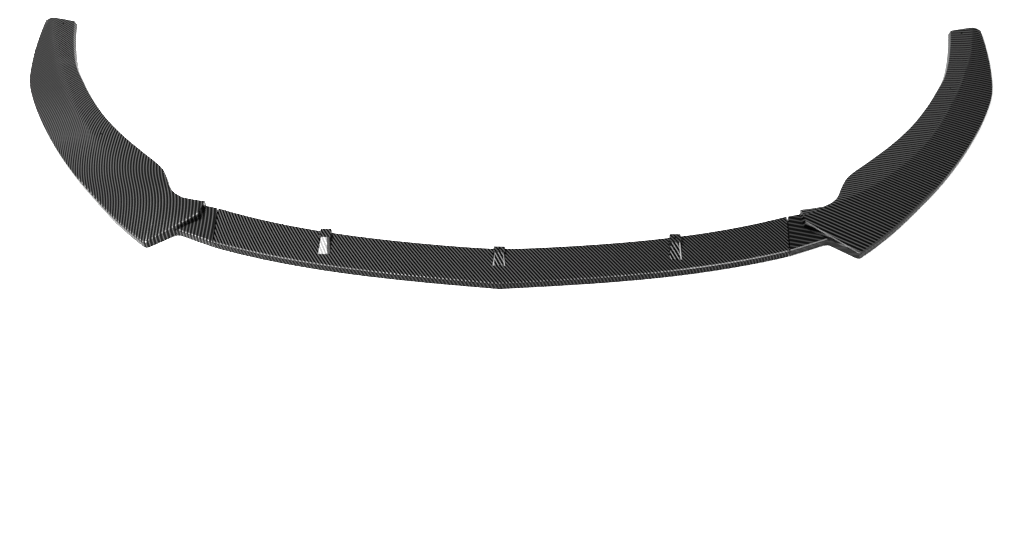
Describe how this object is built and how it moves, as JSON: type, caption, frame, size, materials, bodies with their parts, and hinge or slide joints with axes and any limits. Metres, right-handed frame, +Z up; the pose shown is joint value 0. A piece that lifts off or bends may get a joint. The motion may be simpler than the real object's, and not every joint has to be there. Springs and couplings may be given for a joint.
{
  "type": "front splitter lip",
  "caption": "Curved front splitter lip for a car: centre blade with raised screw tabs and two swept wings, bolted end to end, moulded shells open underneath.",
  "frame": {"origin": "middle of the lip's outline seen from above, on the ground rims it stands on", "axes": "+X across the car to the lip's right end as the picture shows it, +Y back towards the car, +Z up"},
  "size_m": [1.7922, 0.5886, 0.0345],
  "materials": {
    "centre_weave": "clear gloss over a printed twill weave",
    "left_weave": "clear gloss over a printed twill weave",
    "right_weave": "clear gloss over a printed twill weave",
    "screw_steel": "plain zinc-plated"
  },
  "bodies": {
    "root": {"centre_blade": "centre_weave", "left_wing": "left_weave", "right_wing": "right_weave", "left_joint_screws": "screw_steel", "right_joint_screws": "screw_steel"}
  },
  "joints": []
}
